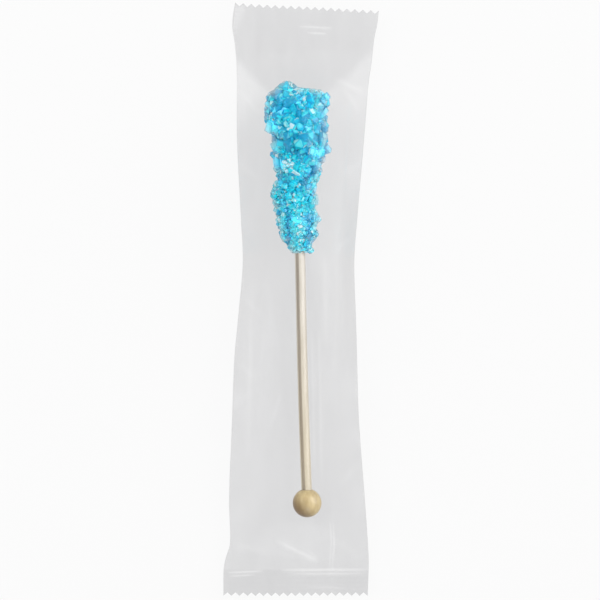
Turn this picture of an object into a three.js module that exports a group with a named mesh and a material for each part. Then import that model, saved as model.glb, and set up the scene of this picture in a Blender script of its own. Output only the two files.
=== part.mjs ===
// A stick of rock candy sealed in a clear film flow wrap, lying on its back.
//
// The wrap is one tube of film, crimped shut and cut zigzag at both ends, with a fin seam folded flat along
// its back. Air and the candy hold it open. A sealed bag has no way in, so it is one solid out to the film's
// outer face: a tent over the candy, a pillow of air round the stick, a flat panel that slopes down to each
// end, and flat ribbed crimps. The side folds are sharp, as the tube was pressed flat when it was made.
//
// Millimetres, +Z up, +Y towards the candy end, origin on the ground under the middle of the wrap.
import * as THREE from "three";

// ---- Tube ----
const FLAT_WIDTH = 54.4; // the tube pressed flat, from side fold to side fold
const END_Y = { candyEnd: 110.8, ballEnd: -112 }; // tips of the cut teeth, at the middle of each end
const CRIMP_Y = { candyEnd: 100.3, ballEnd: -101.8 }; // where each crimp ends and the tube opens
const CRIMP_Z = { candyEnd: 6.5, ballEnd: 3.5 }; // height of each crimp above the ground
const PANEL_START = { candyEnd: 94.7, ballEnd: -98.5 }; // where each flat end panel starts to rise
const PANEL_TILT = { candyEnd: 0.09, ballEnd: -0.11 }; // how far that line slopes across the wrap
const END_SLOPE = { candyEnd: 0.5, ballEnd: 0.4 }; // how steeply each end panel rises
const PANEL_BLEND = 0.9; // how softly the end panels run into the tube
const SLACK = { most: 1.1, reach: 20 }; // film that small creases take up, away from the crimps
const CANDY_END_SKEW = -0.053; // slope of the candy end's crimp across the wrap
const SKEW_FROM_Y = 70;
const SINK = { stick: 0.8, candy: 1.8, fromY: 20, toY: 60 }; // how far the weight flattens the underside

// Side folds along the wrap: [y, left x, right x].
const FOLDS = [
  [-112, -29.0, 25.6],
  [-102, -28.9, 26.0],
  [-98, -28.2, 26.0],
  [-92, -26.5, 25.7],
  [-75, -26.8, 24.5],
  [-45, -25.6, 22.2],
  [-22, -24.7, 21.5],
  [-8, -23.4, 21.1],
  [14, -21.5, 20.4],
  [30, -22.2, 21.5],
  [60, -23.7, 24.1],
  [83, -23.8, 26.0],
  [90, -24.1, 27.0],
  [96, -24.7, 27.6],
  [101, -25.5, 28.2],
  [105, -25.4, 29.1],
  [111, -24.4, 29.8],
];

// Power of the section's curve along the wrap: 1 is a tent, 2 a lens of two arcs, and more is flat on top.
const SECTION_POWER = [
  [-112, 2],
  [22, 2],
  [54, 1.45],
  [70, 1.4],
  [84, 2.3],
  [100, 2.8],
];

// ---- Crimped ends ----
const CRIMP = { thickness: 0.5, ribs: 5, ribDepth: 0.4, blend: 3, blendOver: 20 };
const TEETH = { count: 18, depth: 1.3 };
const CRIMP_WAVE = { rise: 0.7, length: 47, reach: 12, candyEndPhase: 0.4, ballEndPhase: 2.6 };
const CORNER_CURL = { rise: 2.2, width: 6, length: 16 }; // the candy end's left corner turns up

// ---- Fin seam on the back, pressed thin towards the candy end's crimp ----
const FIN = { firstColumn: 5, columns: 4, thickness: 0.5, pressed: 0.15, pressedOver: 14 };

// ---- Creases ----
// Folds that run in from each crimp, waves along each side fold, and lumps where the candy presses.
const GATHER = { rise: 0.25, folds: 4.5, drift: 0.03, start: 3, reach: 13, upperPhase: 0.6, lowerPhase: 2.3 };
const BUCKLE = { rise: 0.4, pitch: 21, start: 10, reach: 3.5, leftPhase: 2.1 };
const LUMPS = { rise: 0.5, spacing: 13, slant: 0.25, fromY: 18, toY: 82, fade: 8, halfWidth: 9 };
const CROSS_LUMPS = { share: 0.6, finer: 1.7, slant: 0.3 }; // a second set of lumps, across the first
const CREASE_MOST = { rise: 1, share: 0.8 }; // how far out a crease stands, and how much height it takes

// ---- Mesh ----
const COLUMNS = 2 * TEETH.count; // strips from side fold to side fold, two to a tooth
const RING = 2 * COLUMNS;
const BODY_ROWS = 56;
const ROW_CROWDING = 0.25; // how much closer the rows lie next to the crimps
const SECTION_SAMPLES = 96;
const WIDTH_PASSES = 30;

const { clamp, lerp, smoothstep } = THREE.MathUtils;
const smoothMax = (a, b, width) => 0.5 * (a + b + Math.hypot(a - b, width));
const smoothMin = (a, b, width) => 0.5 * (a + b - Math.hypot(a - b, width));

// Value in one column of a table of stations, on a smooth curve through them.
function along(stations, y, column) {
  const last = stations.length - 1;
  let i = 1;
  while (i < last && y > stations[i][0]) i++;
  const slopeAt = (k) => {
    const before = stations[Math.max(k - 1, 0)];
    const after = stations[Math.min(k + 1, last)];
    return (after[column] - before[column]) / (after[0] - before[0]);
  };
  const [from, to] = [stations[i - 1], stations[i]];
  const span = to[0] - from[0];
  const t = clamp((y - from[0]) / span, 0, 1);
  const bow = span * t * (1 - t) * ((1 - t) * slopeAt(i - 1) - t * slopeAt(i));
  return lerp(from[column], to[column], t * t * (3 - 2 * t)) + bow;
}

// The upper film's curve from the right fold over to the left fold, as [x, z] points.
function halfSection(halfWidth, rise, power) {
  return Array.from({ length: SECTION_SAMPLES + 1 }, (_, k) => {
    const across = 1 - (2 * k) / SECTION_SAMPLES;
    return [halfWidth * across, rise * (1 - Math.abs(across) ** power)];
  });
}

function lengthsAlong(points) {
  const lengths = [0];
  for (let k = 1; k < points.length; k++) {
    const step = Math.hypot(points[k][0] - points[k - 1][0], points[k][1] - points[k - 1][1]);
    lengths.push(lengths[k - 1] + step);
  }
  return lengths;
}

// Film doesn't stretch, so a section narrower than its film stands up by what is left over.
function riseFor(halfWidth, power, filmLength) {
  let low = CRIMP.thickness / 2;
  let high = filmLength / 2;
  for (let pass = 0; pass < WIDTH_PASSES; pass++) {
    const middle = (low + high) / 2;
    const length = lengthsAlong(halfSection(halfWidth, middle, power)).at(-1);
    if (length > filmLength) high = middle;
    else low = middle;
  }
  return low;
}

// The half section's points at equal steps of film, one for each column line.
function columnPoints(halfWidth, rise, power) {
  const points = halfSection(halfWidth, rise, power);
  const lengths = lengthsAlong(points);
  const columns = [];
  let k = 1;
  for (let column = 0; column <= COLUMNS; column++) {
    const wanted = (lengths.at(-1) * column) / COLUMNS;
    while (k < lengths.length - 1 && lengths[k] < wanted) k++;
    const t = (wanted - lengths[k - 1]) / (lengths[k] - lengths[k - 1]);
    columns.push([lerp(points[k - 1][0], points[k][0], t), lerp(points[k - 1][1], points[k][1], t)]);
  }
  return columns;
}

// Places of the rings along the wrap: each crimp's rib crests and valleys, and the tube between the crimps.
function rowHeights() {
  const crimpRows = (inner, end) => {
    const root = end - TEETH.depth * Math.sign(end);
    const rows = 2 * CRIMP.ribs;
    const step = (root - inner) / (rows + 1);
    return Array.from({ length: rows + 1 }, (_, k) => inner + k * step);
  };
  const middle = (CRIMP_Y.candyEnd + CRIMP_Y.ballEnd) / 2;
  const reach = (CRIMP_Y.candyEnd - CRIMP_Y.ballEnd) / 2;
  const bodyRows = Array.from({ length: BODY_ROWS - 1 }, (_, k) => {
    const u = (2 * (k + 1)) / BODY_ROWS - 1;
    return middle + reach * u * (1 + ROW_CROWDING * (1 - u * u));
  });
  const ballCrimp = crimpRows(CRIMP_Y.ballEnd, END_Y.ballEnd).reverse();
  const candyCrimp = crimpRows(CRIMP_Y.candyEnd, END_Y.candyEnd);
  return [END_Y.ballEnd, ...ballCrimp, ...bodyRows, ...candyCrimp, END_Y.candyEnd];
}

// Height of a crimp's ribs, which run across the wrap.
function ribAt(y) {
  const end = y > 0 ? "candyEnd" : "ballEnd";
  const root = END_Y[end] - TEETH.depth * Math.sign(y);
  const depthIn = (y - CRIMP_Y[end]) / (root - CRIMP_Y[end]);
  const phase = depthIn * (2 * CRIMP.ribs + 1);
  return (CRIMP.ribDepth / 2) * (Math.round(phase) % 2 ? 1 : -1);
}

// Height that the creases and the candy add to the film at a point of its upper or lower side.
function creaseAt(x, y, share, upper, left, right) {
  const fromCrimp = Math.min(y - CRIMP_Y.ballEnd, CRIMP_Y.candyEnd - y);
  const phase = upper ? GATHER.upperPhase : GATHER.lowerPhase;
  const gather =
    GATHER.rise *
    Math.cos(2 * Math.PI * GATHER.folds * share + phase + GATHER.drift * y) *
    smoothstep(fromCrimp, 0, GATHER.start) *
    Math.exp(-fromCrimp / GATHER.reach);
  const nearFold = Math.min(x - left, right - x);
  const sidePhase = x > (left + right) / 2 ? 0 : BUCKLE.leftPhase;
  const buckle =
    BUCKLE.rise *
    Math.sin((2 * Math.PI * y) / BUCKLE.pitch + sidePhase) *
    Math.exp(-nearFold / BUCKLE.reach) *
    smoothstep(fromCrimp, 0, BUCKLE.start);
  const turn = (2 * Math.PI) / LUMPS.spacing;
  const crossing = CROSS_LUMPS.share * Math.sin(CROSS_LUMPS.finer * turn * x + CROSS_LUMPS.slant * y);
  const lumps =
    LUMPS.rise *
    (Math.sin(turn * y + LUMPS.slant * x) + crossing) *
    Math.exp(-((x / LUMPS.halfWidth) ** 2)) *
    smoothstep(y, LUMPS.fromY, LUMPS.fromY + LUMPS.fade) *
    (1 - smoothstep(y, LUMPS.toY - LUMPS.fade, LUMPS.toY));
  return gather + buckle + (upper ? lumps : 0);
}

// Height of the crimps' own slow wave and of the turned-up corner.
function crimpWaveAt(x, y, left) {
  const past = Math.max(CRIMP_Y.ballEnd - y, y - CRIMP_Y.candyEnd);
  const phase = y > 0 ? CRIMP_WAVE.candyEndPhase : CRIMP_WAVE.ballEndPhase;
  const wave = CRIMP_WAVE.rise * Math.sin((2 * Math.PI * x) / CRIMP_WAVE.length + phase);
  const fromCorner = clamp(1 - (x - left) / CORNER_CURL.width, 0, 1);
  const nearEnd = smoothstep(y, END_Y.candyEnd - CORNER_CURL.length, END_Y.candyEnd);
  return wave * smoothstep(past, -CRIMP_WAVE.reach, 0) + CORNER_CURL.rise * fromCorner ** 2 * nearEnd;
}

// One ring of the film: over the top from right to left, then back underneath.
function ring(y) {
  const left = along(FOLDS, y, 1);
  const right = along(FOLDS, y, 2);
  const halfWidth = (right - left) / 2;
  const centre = (right + left) / 2;
  const fromBall = y - CRIMP_Y.ballEnd;
  const fromCandy = CRIMP_Y.candyEnd - y;
  const crimped = fromBall <= 0 || fromCandy <= 0;
  const isTip = y === END_Y.ballEnd || y === END_Y.candyEnd;

  const power = along(SECTION_POWER, y, 1);
  const panelAt = (x) => {
    const ballRun = y - PANEL_START.ballEnd - PANEL_TILT.ballEnd * (x - centre);
    const candyRun = PANEL_START.candyEnd + PANEL_TILT.candyEnd * (x - centre) - y;
    return Math.min(END_SLOPE.ballEnd * ballRun, END_SLOPE.candyEnd * candyRun);
  };
  const flatRise = CRIMP.thickness / 2;
  const underPanel = (z, x) => Math.max(flatRise, smoothMin(z, panelAt(x), PANEL_BLEND));
  const slack = SLACK.most * smoothstep(Math.min(fromBall, fromCandy), 0, SLACK.reach);
  const rise = riseFor(halfWidth, power, FLAT_WIDTH - slack);
  const half = columnPoints(halfWidth, rise, power);

  const crimpZ = lerp(CRIMP_Z.ballEnd, CRIMP_Z.candyEnd, clamp(fromBall / (fromBall + fromCandy), 0, 1));
  const fromTip = Math.min(y - END_Y.ballEnd, END_Y.candyEnd - y);
  const sink = lerp(SINK.stick, SINK.candy, smoothstep(y, SINK.fromY, SINK.toY));
  const blend = CRIMP.blend * smoothstep(fromTip, 0, CRIMP.blendOver);
  const middleZ = smoothMax(underPanel(rise, centre) - sink, crimpZ, blend);
  const skew = CANDY_END_SKEW * smoothstep(y, SKEW_FROM_Y, CRIMP_Y.candyEnd);
  const finThickness = lerp(FIN.pressed, FIN.thickness, smoothstep(fromCandy, 0, FIN.pressedOver));

  const place = (column, upper) => {
    const share = column / COLUMNS;
    const onFold = column === 0 || column === COLUMNS;
    const x = centre + (crimped ? halfWidth * (1 - 2 * share) : half[column][0]);
    const height = crimped ? flatRise : underPanel(half[column][1], x);
    const crease = crimped ? ribAt(y) : creaseAt(x, y, share, upper, left, right);
    const inward = CREASE_MOST.share * height;
    const [lowest, highest] = upper ? [-inward, CREASE_MOST.rise] : [-CREASE_MOST.rise, inward];
    const bump = crimped ? crease : clamp(crease, lowest, highest);
    const onFin = !upper && column >= FIN.firstColumn && column <= FIN.firstColumn + FIN.columns;
    const side = upper ? height : -height - (onFin ? finThickness : 0);
    const z = middleZ + crimpWaveAt(x, y, left) + bump + (onFold ? 0 : side);
    const notch = isTip && column % 2 === 1 ? TEETH.depth * Math.sign(y) : 0;
    return [x, y - notch + skew * (x - centre), Math.max(0, z)];
  };

  const points = [];
  for (let column = 0; column <= COLUMNS; column++) points.push(place(column, true));
  for (let column = COLUMNS - 1; column > 0; column--) points.push(place(column, false));
  return points;
}

// Joins the rings and closes each cut end with a strip between its upper and lower film.
function tubeGeometry(rings) {
  const faces = [];
  const at = (row, k) => row * RING + (k % RING);
  for (let row = 0; row < rings.length - 1; row++) {
    for (let k = 0; k < RING; k++) {
      faces.push(at(row, k), at(row + 1, k), at(row + 1, k + 1));
      faces.push(at(row, k), at(row + 1, k + 1), at(row, k + 1));
    }
  }
  const closeEnd = (row, facesBack) => {
    for (let column = 0; column < COLUMNS; column++) {
      const upper = [at(row, column), at(row, column + 1)];
      const lower = [at(row, RING - column), at(row, RING - column - 1)];
      const strip = [...new Set([upper[0], lower[0], lower[1], upper[1]])];
      if (facesBack) strip.reverse();
      for (let k = 2; k < strip.length; k++) faces.push(strip[0], strip[k - 1], strip[k]);
    }
  };
  closeEnd(0, true);
  closeEnd(rings.length - 1, false);
  const geometry = new THREE.BufferGeometry();
  geometry.setAttribute("position", new THREE.Float32BufferAttribute(rings.flat(2), 3));
  geometry.setIndex(faces);
  return geometry;
}

// The whole wrap, with the middle of its footprint over the origin.
function wrapGeometry() {
  const geometry = tubeGeometry(rowHeights().map(ring));
  geometry.computeBoundingBox();
  const { min, max } = geometry.boundingBox;
  geometry.translate(-(min.x + max.x) / 2, -(min.y + max.y) / 2, -min.z);
  geometry.computeVertexNormals();
  return geometry;
}

const clearFilm = new THREE.MeshStandardMaterial({
  color: 0xdcdde0,
  roughness: 0.15,
  metalness: 0,
  transparent: true,
  opacity: 0.6,
});

const candyStick = new THREE.Group();
candyStick.name = "wrapped_rock_candy_stick";

const wrapper = new THREE.Mesh(wrapGeometry(), clearFilm);
wrapper.name = "wrapper";
candyStick.add(wrapper);

export default candyStick;
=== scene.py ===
"""A stick of rock candy sealed in a clear film flow wrap, lying on its back on a pale floor.

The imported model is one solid, the sealed wrap. The film here has the same form, with finer rows and sharper
creases, and holds what the wrap holds: a wooden dowel with a ball on its end, and rock candy grown on it.

Sizes are in millimetres, in the wrap's own frame: +Y towards the candy end, +Z up.
"""

import itertools
import math

import bpy
import numpy as np
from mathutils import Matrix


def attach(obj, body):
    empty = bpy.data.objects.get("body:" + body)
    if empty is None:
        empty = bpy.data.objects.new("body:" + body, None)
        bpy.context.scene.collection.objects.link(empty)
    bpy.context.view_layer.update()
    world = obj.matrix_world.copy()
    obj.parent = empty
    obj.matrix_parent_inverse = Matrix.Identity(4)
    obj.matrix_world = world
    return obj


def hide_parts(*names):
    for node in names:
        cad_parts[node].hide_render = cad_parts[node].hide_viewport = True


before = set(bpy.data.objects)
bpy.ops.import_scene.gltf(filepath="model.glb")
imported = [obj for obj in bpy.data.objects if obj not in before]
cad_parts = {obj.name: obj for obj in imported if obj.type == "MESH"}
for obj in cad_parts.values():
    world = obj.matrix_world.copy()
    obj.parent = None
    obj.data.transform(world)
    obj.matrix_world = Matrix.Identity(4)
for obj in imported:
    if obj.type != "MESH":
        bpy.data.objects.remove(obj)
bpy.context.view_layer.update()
MM = 0.001
TINY = 1e-9  # keeps divisors above 0

# ---- Tube of film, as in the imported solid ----
FLAT_WIDTH = 54.4  # the tube pressed flat
END_Y = {"candy": 110.8, "ball": -112.0}  # tips of the cut teeth
CRIMP_Y = {"candy": 100.3, "ball": -101.8}  # where the tube opens
CRIMP_Z = {"candy": 6.5, "ball": 3.5}  # height over the ground
PANEL_START = {"candy": 94.7, "ball": -98.5}  # of the flat end panels
PANEL_TILT = {"candy": 0.09, "ball": -0.11}  # its slope across the wrap
END_SLOPE = {"candy": 0.5, "ball": 0.4}  # how steeply they rise
PANEL_BLEND = 0.9  # how softly they end
SLACK = {"most": 1.1, "reach": 20}  # film that small creases take up
CANDY_END_SKEW = -0.053
SKEW_FROM_Y = 70
SINK = {"stick": 0.8, "candy": 1.8, "from_y": 20, "to_y": 60}  # how far the weight flattens the underside
FOLDS = np.array([  # side folds along the wrap: y, left x, right x
    [-112, -29, 25.6], [-102, -28.9, 26], [-98, -28.2, 26], [-92, -26.5, 25.7], [-75, -26.8, 24.5],
    [-45, -25.6, 22.2], [-22, -24.7, 21.5], [-8, -23.4, 21.1], [14, -21.5, 20.4], [30, -22.2, 21.5],
    [60, -23.7, 24.1], [83, -23.8, 26], [90, -24.1, 27], [96, -24.7, 27.6], [101, -25.5, 28.2],
    [105, -25.4, 29.1], [111, -24.4, 29.8],
])
SECTION_POWER = np.array([  # y and power of the section's curve: 1 is a tent, 2 a lens
    [-112, 2], [22, 2], [54, 1.45], [70, 1.4], [84, 2.3], [100, 2.8],
])
CRIMP = {"thickness": 0.5, "ribs": 5, "rib_depth": 0.4, "blend": 3, "blend_over": 20}
TEETH = {"count": 18, "depth": 1.3}
CRIMP_WAVE = {"rise": 0.7, "length": 47, "reach": 12, "phase": {"candy": 0.4, "ball": 2.6}}
CORNER_CURL = {"rise": 2.2, "width": 6, "length": 16}  # the candy end's left corner turns up
FIN = {"first_column": 5, "columns": 4, "thickness": 0.5, "pressed": 0.15, "pressed_over": 14}
GATHER = {  # folds that run in from each crimp, and their phase on either side
    "rise": 0.25, "folds": 4.5, "drift": 0.03, "start": 3, "reach": 13, "upper": 0.6, "lower": 2.3,
}
BUCKLE = {"rise": 0.4, "pitch": 21, "start": 10, "reach": 3.5, "left_phase": 2.1}  # waves at the folds
LUMPS = {  # where the candy presses
    "rise": 0.5, "spacing": 13, "slant": 0.25, "from_y": 18, "to_y": 82, "fade": 8, "half_width": 9,
}
CROSS_LUMPS = {"share": 0.6, "finer": 1.7, "slant": 0.3}  # a second set of lumps, across the first
CREASE_MOST = {"rise": 1, "share": 0.8}  # how far out and in a crease goes

# ---- Creases and lines that the solid doesn't have ----
CREASES = np.array([  # sharp creases of the upper film: from x, y to x, y, half width and rise
    [-9.4, -90.5, 7, -98.9, 1.1, 0.85], [-25.5, -92, -13, -95.5, 1.3, 0.22],
    [12.5, 83.5, 25.4, 78, 1.2, 0.35], [16, 80, 22.5, 71, 1, 0.25], [-22.5, 79, -15.5, 70, 1, 0.2],
    [-23.6, 52, -15, 45, 1.2, 0.15], [4.4, -12, 5.4, -64, 0.6, 0.35], [7, -12, 8.1, -66, 0.6, 0.35],
    [9.2, 18, 9.9, -18, 1.4, 0.4], [14.5, 30, 12.8, -30, 1.6, 0.25], [-7, -34, -11, -48, 0.7, 0.22],
    [-18, 8, -19.5, -60, 1.6, 0.3], [23.8, 52, 15.5, 47, 1.1, 0.2], [20.8, 24.5, 13, 18, 1.1, 0.2],
    [-21.9, 2, -14, -6, 1.2, 0.18], [-25, -21.9, -16, -30, 1.2, 0.18], [-26, -40, -18, -34, 1.1, 0.18],
    [23.4, -60, 15, -70, 1.2, 0.18],
])
CRIMP_LINES = np.array([  # lines that the sealing jaws leave in the crimps, given as in CREASES
    [-7.5, -102.1, 26, -102.1, 0.5, 0.8], [-27.5, -103.2, -14, -102.6, 0.5, 0.7],
    [-5, -103.6, 25, -103.6, 0.45, 0.6], [-27, -104.6, -17, -104, 0.45, 0.5],
    [2, -108.6, 18, -109, 0.5, 0.25], [-0.6, 103.2, 12, 103.2, 0.45, 0.6], [2.8, 101, 9.6, 101, 0.45, 0.6],
])
RIDGE_CURVE = {"along": 0.5, "across": 1.5}  # powers of a ridge's curves
CANDY_END_RIBS = {"faint": 0.2, "deep": 0.6, "deep_x": 6.0, "half_width": 7.0}  # faint and deep are shares
CREASE_PAINTED_SHEEN = 0.9  # painted sheen: how much paler a crease is, for each millimetre of its rise
CRIMP_PAINTED_SHEEN = 1.3  # the same painted sheen for the lines in the crimps
PAINTED_GUSSET_SHEEN = {"left": 0.27, "right": 0.17, "from_y": 58, "to_y": 78, "soft": 2.5}  # painted sheen: paler beside the end panel
FIN_LINES = {  # painted sheen along the seam, seen through the film near the ball's end
    "columns": (36, 39), "half_width": 0.8, "from_y": -84, "to_y": -102, "pale": 0.45,
}

# ---- Film mesh ----
FINER = 4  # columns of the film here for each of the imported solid's
COLUMNS = 2 * TEETH["count"] * FINER
COLUMN = np.arange(COLUMNS + 1)
ACROSS = COLUMN / COLUMNS  # share of the way from the right fold to the left
BODY_ROWS = 248
CRIMP_ROWS = 44
ROW_CROWDING = 0.25  # how much closer they lie at the crimps
SECTION_SAMPLES = 400  # steps along a section
RISE_PASSES = 30  # halvings in rise_for

# ---- Film's look ----
FILM_TINT = (0.867, 0.867, 0.871)  # what one layer lets through
SEAL_TINT = (0.839, 0.839, 0.843)  # the same in the ball end's crimp
SEAL_BLEND = 1
FILM_IOR = 1.2
FILM_ROUGHNESS = 0.25
FILM_GLOSS_MOST = 0.05  # the film never mirrors more than this share
CRINKLE = {"scale": 260, "stretch": (1, 0.07, 1), "detail": 3, "strength": 0.35, "depth": 0.001}
HAZE = {  # soft paler streaks in the film
    "scale": 150, "stretch": (1, 0.3, 1), "detail": 2, "from": 0.3, "to": 0.7, "share": 0.11,
}

# ---- Stick and ball ----
BALL = {"x": 2.7, "y": -76.7, "radius": 5.45, "rows": 48, "around": 72, "pole": 0.02}
BORE = {"play": 0.12, "round_over": 0.06, "lip": 0.12, "lip_from": 0.05, "lip_to": 0.2, "past_dowel": 0.3}
BORE_FLOOR = 0.05  # radius of the ring that closes the bore
DOWEL = {"radius": 1.98, "lean_x": -0.0292, "rise": 0.031, "in_ball": 3.0, "top_y": 74}
DOWEL_MESH = {"rows": 60, "around": 48, "bevel": 0.3, "foot": 0.9, "tip": 0.8}  # ends as shares
DOWEL_BOW = {"side": -0.28, "length": 88}  # it bends to the left between ball and candy
FILM_UNDER_BALL = 0.15
WOOD = {"roughness": 0.55, "wax": 0.7, "wax_roughness": 0.3}
GRAIN = {"scale": 900, "detail": 4, "from": 0.3, "to": 0.7, "strength": 0.25, "depth": 0.0002}
DOWEL_WOOD = {  # painted shade: this colour darkens the wood where it faces the given side, from none to all between these cosines
    "light": (0.445, 0.415, 0.362), "dark": (0.365, 0.333, 0.28), "stretch": (1, 0.05, 1),
    "painted_shade_colour": (0.50, 0.46, 0.42), "shade_side": (-0.56, 0, 0.83), "shade_from": 0.905, "shade_to": 0.98,
}
# the ball's painted shade darkens its left side, away from the candy
BALL_WOOD = {
    "light": (0.43, 0.355, 0.205), "dark": (0.32, 0.25, 0.128), "stretch": (1, 0.2, 1),
    "painted_shade_colour": (0.34, 0.26, 0.17), "shade_side": (-0.75, -0.65, 0.1), "shade_from": -0.1, "shade_to": 0.95,
}
WOOD_WARM = {"from_y": 0, "to_y": -60, "colour": (1.0, 0.95, 0.82)}  # yellower towards the ball

# ---- Candy ----
CANDY = np.array([  # y, left x, right x and depth
    [17.4, -2.6, 4.6, 5], [18.4, -3.9, 6, 7], [19.6, -5, 5.2, 9], [21.4, -5.9, 5.2, 10.5],
    [23.2, -8, 6.6, 12], [24.9, -8.5, 7.8, 13], [26.4, -8.2, 6.8, 13.5], [28.6, -9.2, 7.2, 14],
    [30.9, -9.8, 8.2, 14.5], [32.4, -9.6, 7.4, 15], [33.9, -10.4, 6.5, 15.5], [35.4, -9.7, 6.6, 15.5],
    [37.2, -11, 7, 16], [38.5, -11.1, 7.5, 16], [40, -11.5, 6.1, 16.5], [43, -11.1, 7.5, 17],
    [44.5, -10.5, 7.6, 17.5], [46, -9, 8.2, 17.5], [47.5, -9.4, 7.9, 18], [50, -10.9, 8.9, 18.5],
    [53, -10.9, 9.7, 18.5], [55, -11.3, 11.4, 18.5], [56.5, -12.1, 12.1, 18.5], [58.1, -11.5, 11.1, 18.5],
    [60, -10.7, 10.4, 18.5], [61.1, -10.6, 10.5, 18.5], [62.6, -13.2, 10.3, 18], [65, -14, 11.1, 18],
    [67.1, -14.1, 10.9, 18], [69.5, -13.2, 10.7, 18], [71.6, -13.9, 10.6, 18], [74, -13.3, 11.3, 17.5],
    [76.2, -13.8, 12.1, 16.5], [77.7, -12.4, 11.9, 15.5], [79.2, -10, 9.5, 12.5], [80, -9.2, -0.2, 10],
    [81.6, -7.4, -2.2, 7], [82.8, -6.2, -4.2, 4],
])
CANDY_RIM = np.vstack([CANDY[:, [1, 0]], CANDY[::-1, [2, 0]]])  # the outline as x, y, all the way round
CANDY_LEAST = 0.4  # least half width and half depth
TO_AXIS = 90  # an inset past the candy's middle
TUBE_YS = np.linspace(0, 95, 96)  # where the film's inside is measured
ACROSS_MOST = 0.999
TUBE_ROOM = {"floor": 0.15, "under": 0.2, "over": 0.6}  # the candy stays this far inside the film

# Crystals: sizes and insets are for the candy's fine part and its coarse part
CANDY_SEED = 7
CRYSTALS = {"count": 620, "size": (2.3, 4.3), "inset": (1.2, 1.4), "sunk": 0.08, "on_strip": False}
GRAINS = {"count": 3000, "size": (1.5, 2.2), "inset": (1.1, 1.7), "sunk": 0.2, "on_strip": True}
SIZE_SPREAD = 0.22
GROWN_COARSE = (40, 56)  # y between which they go from small to large
SEED_ENDS = 0.8  # how far from the candy's ends they start
STRETCH = ((0.75, 1.1), (0.9, 1.35), (0.75, 1.05))  # least and most along each axis
CRYSTAL_FACES = (  # slope and distance of a sugar crystal's pairs of faces, for one of half size 1
    ((1, 0, 0), 0.62), ((0, 0, 1), 0.70), ((0.8, 0, 0.6), 0.74), ((-0.8, 0, 0.6), 0.78),
    ((0.55, 0.83, 0), 0.82), ((0.55, -0.83, 0), 0.88), ((0, 0.8, 0.6), 0.92), ((0, -0.8, 0.6), 0.86),
)
GRAIN_FACES = CRYSTAL_FACES[:2] + CRYSTAL_FACES[4:7]
NEARLY_NONE = 1e-6  # slack at a crystal's faces, and least span of three that meet
SAME_PLACE = 1e-4  # corners this close are one
RIM = 0.18  # share of a crystal's face that takes painted shade towards its edge
RIM_ROOM = 0.3  # a crystal may stand out of the outline by this much
PULL = {"step": 0.25, "steps": 16}  # crystals outside the outline or the film go inwards
PULL_Y = (CANDY[3, 0], CANDY[-5, 0])  # between which they go straight in
LEADS = np.array([  # crystals that stand out: x, y, size, height over the middle as a share, tone
    [-4.6, 80.2, 4.6, 0.1, 0.95], [-11.2, 65, 4.8, 0.5, 1], [-12, 73.6, 3.6, 0.4, 0.45],
    [9.9, 76.6, 4.2, 0.5, 0.6], [9.4, 70.8, 4.6, 0.4, 0.62], [9.2, 65.2, 4.2, 0.4, 0.58],
    [9.8, 57, 5, 0.5, 0.08], [4.3, 55.8, 4.6, 0.95, 0.92], [-1.2, 67.2, 3.6, 1, 0.7], [-2, 63, 3.4, 1, 0.78],
    [-5.2, 70.2, 4.8, 0.95, 0.42], [-0.6, 75, 3.8, 0.9, 0.55], [3.8, 73.2, 4, 0.9, 0.62],
    [3.6, 62.4, 4.2, 0.95, 0.58], [-9.8, 57.6, 4.4, 0.7, 0.62], [-8.6, 51.6, 4, 0.7, 0.55],
    [-9.4, 47.6, 3.4, 0.6, 0.5], [3, 48.4, 3.6, 0.95, 0.58], [6.4, 50.6, 3.4, 0.7, 0.6],
    [-5, 42.6, 3.2, 0.9, 0.52], [5.2, 43.4, 3, 0.8, 0.72], [-9.2, 77.8, 3.2, 0.6, -0.1],
    [-5.6, 51.6, 2.2, 1, 1.4], [-4.1, 52.2, 2, 1, 1.2], [-5.9, 49.8, 2.1, 1, 1.3], [-4.4, 50.4, 2.3, 1, 1.5],
    [-2.9, 50.9, 2, 1, 1.2], [-5.1, 48.4, 2.1, 1, 1.4], [-3.4, 48.9, 2.2, 1, 1.3],
])
LEAD = {"across_most": 0.95, "inset": 0.4, "sunk": 0.35}  # sunk is a share of its size
LEAD_ROOM = 0.5  # share of a lead crystal's size round it where no other starts
UNDERSIDE = -0.2  # crystals that face further down need no room
STRIP = {  # where the candy over the stick is thin, smooth and even
    "x": -0.9, "y": 26.0, "half_x": 3.2, "half_y": 7.0, "inset": 1.8, "sunk": 0.12, "even": 0.7, "bare": 0.4,
}
CORE = {"rows": 110, "around": 96, "inset": 2.0, "from_y": CANDY[0, 0] + 0.4, "to_y": CANDY[-3, 0] - 0.6}
CORE_LUMPS = ((0.25, 3, 0.5), (0.2, 5, -0.9))  # rise, number round the candy, and twist along it
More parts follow.
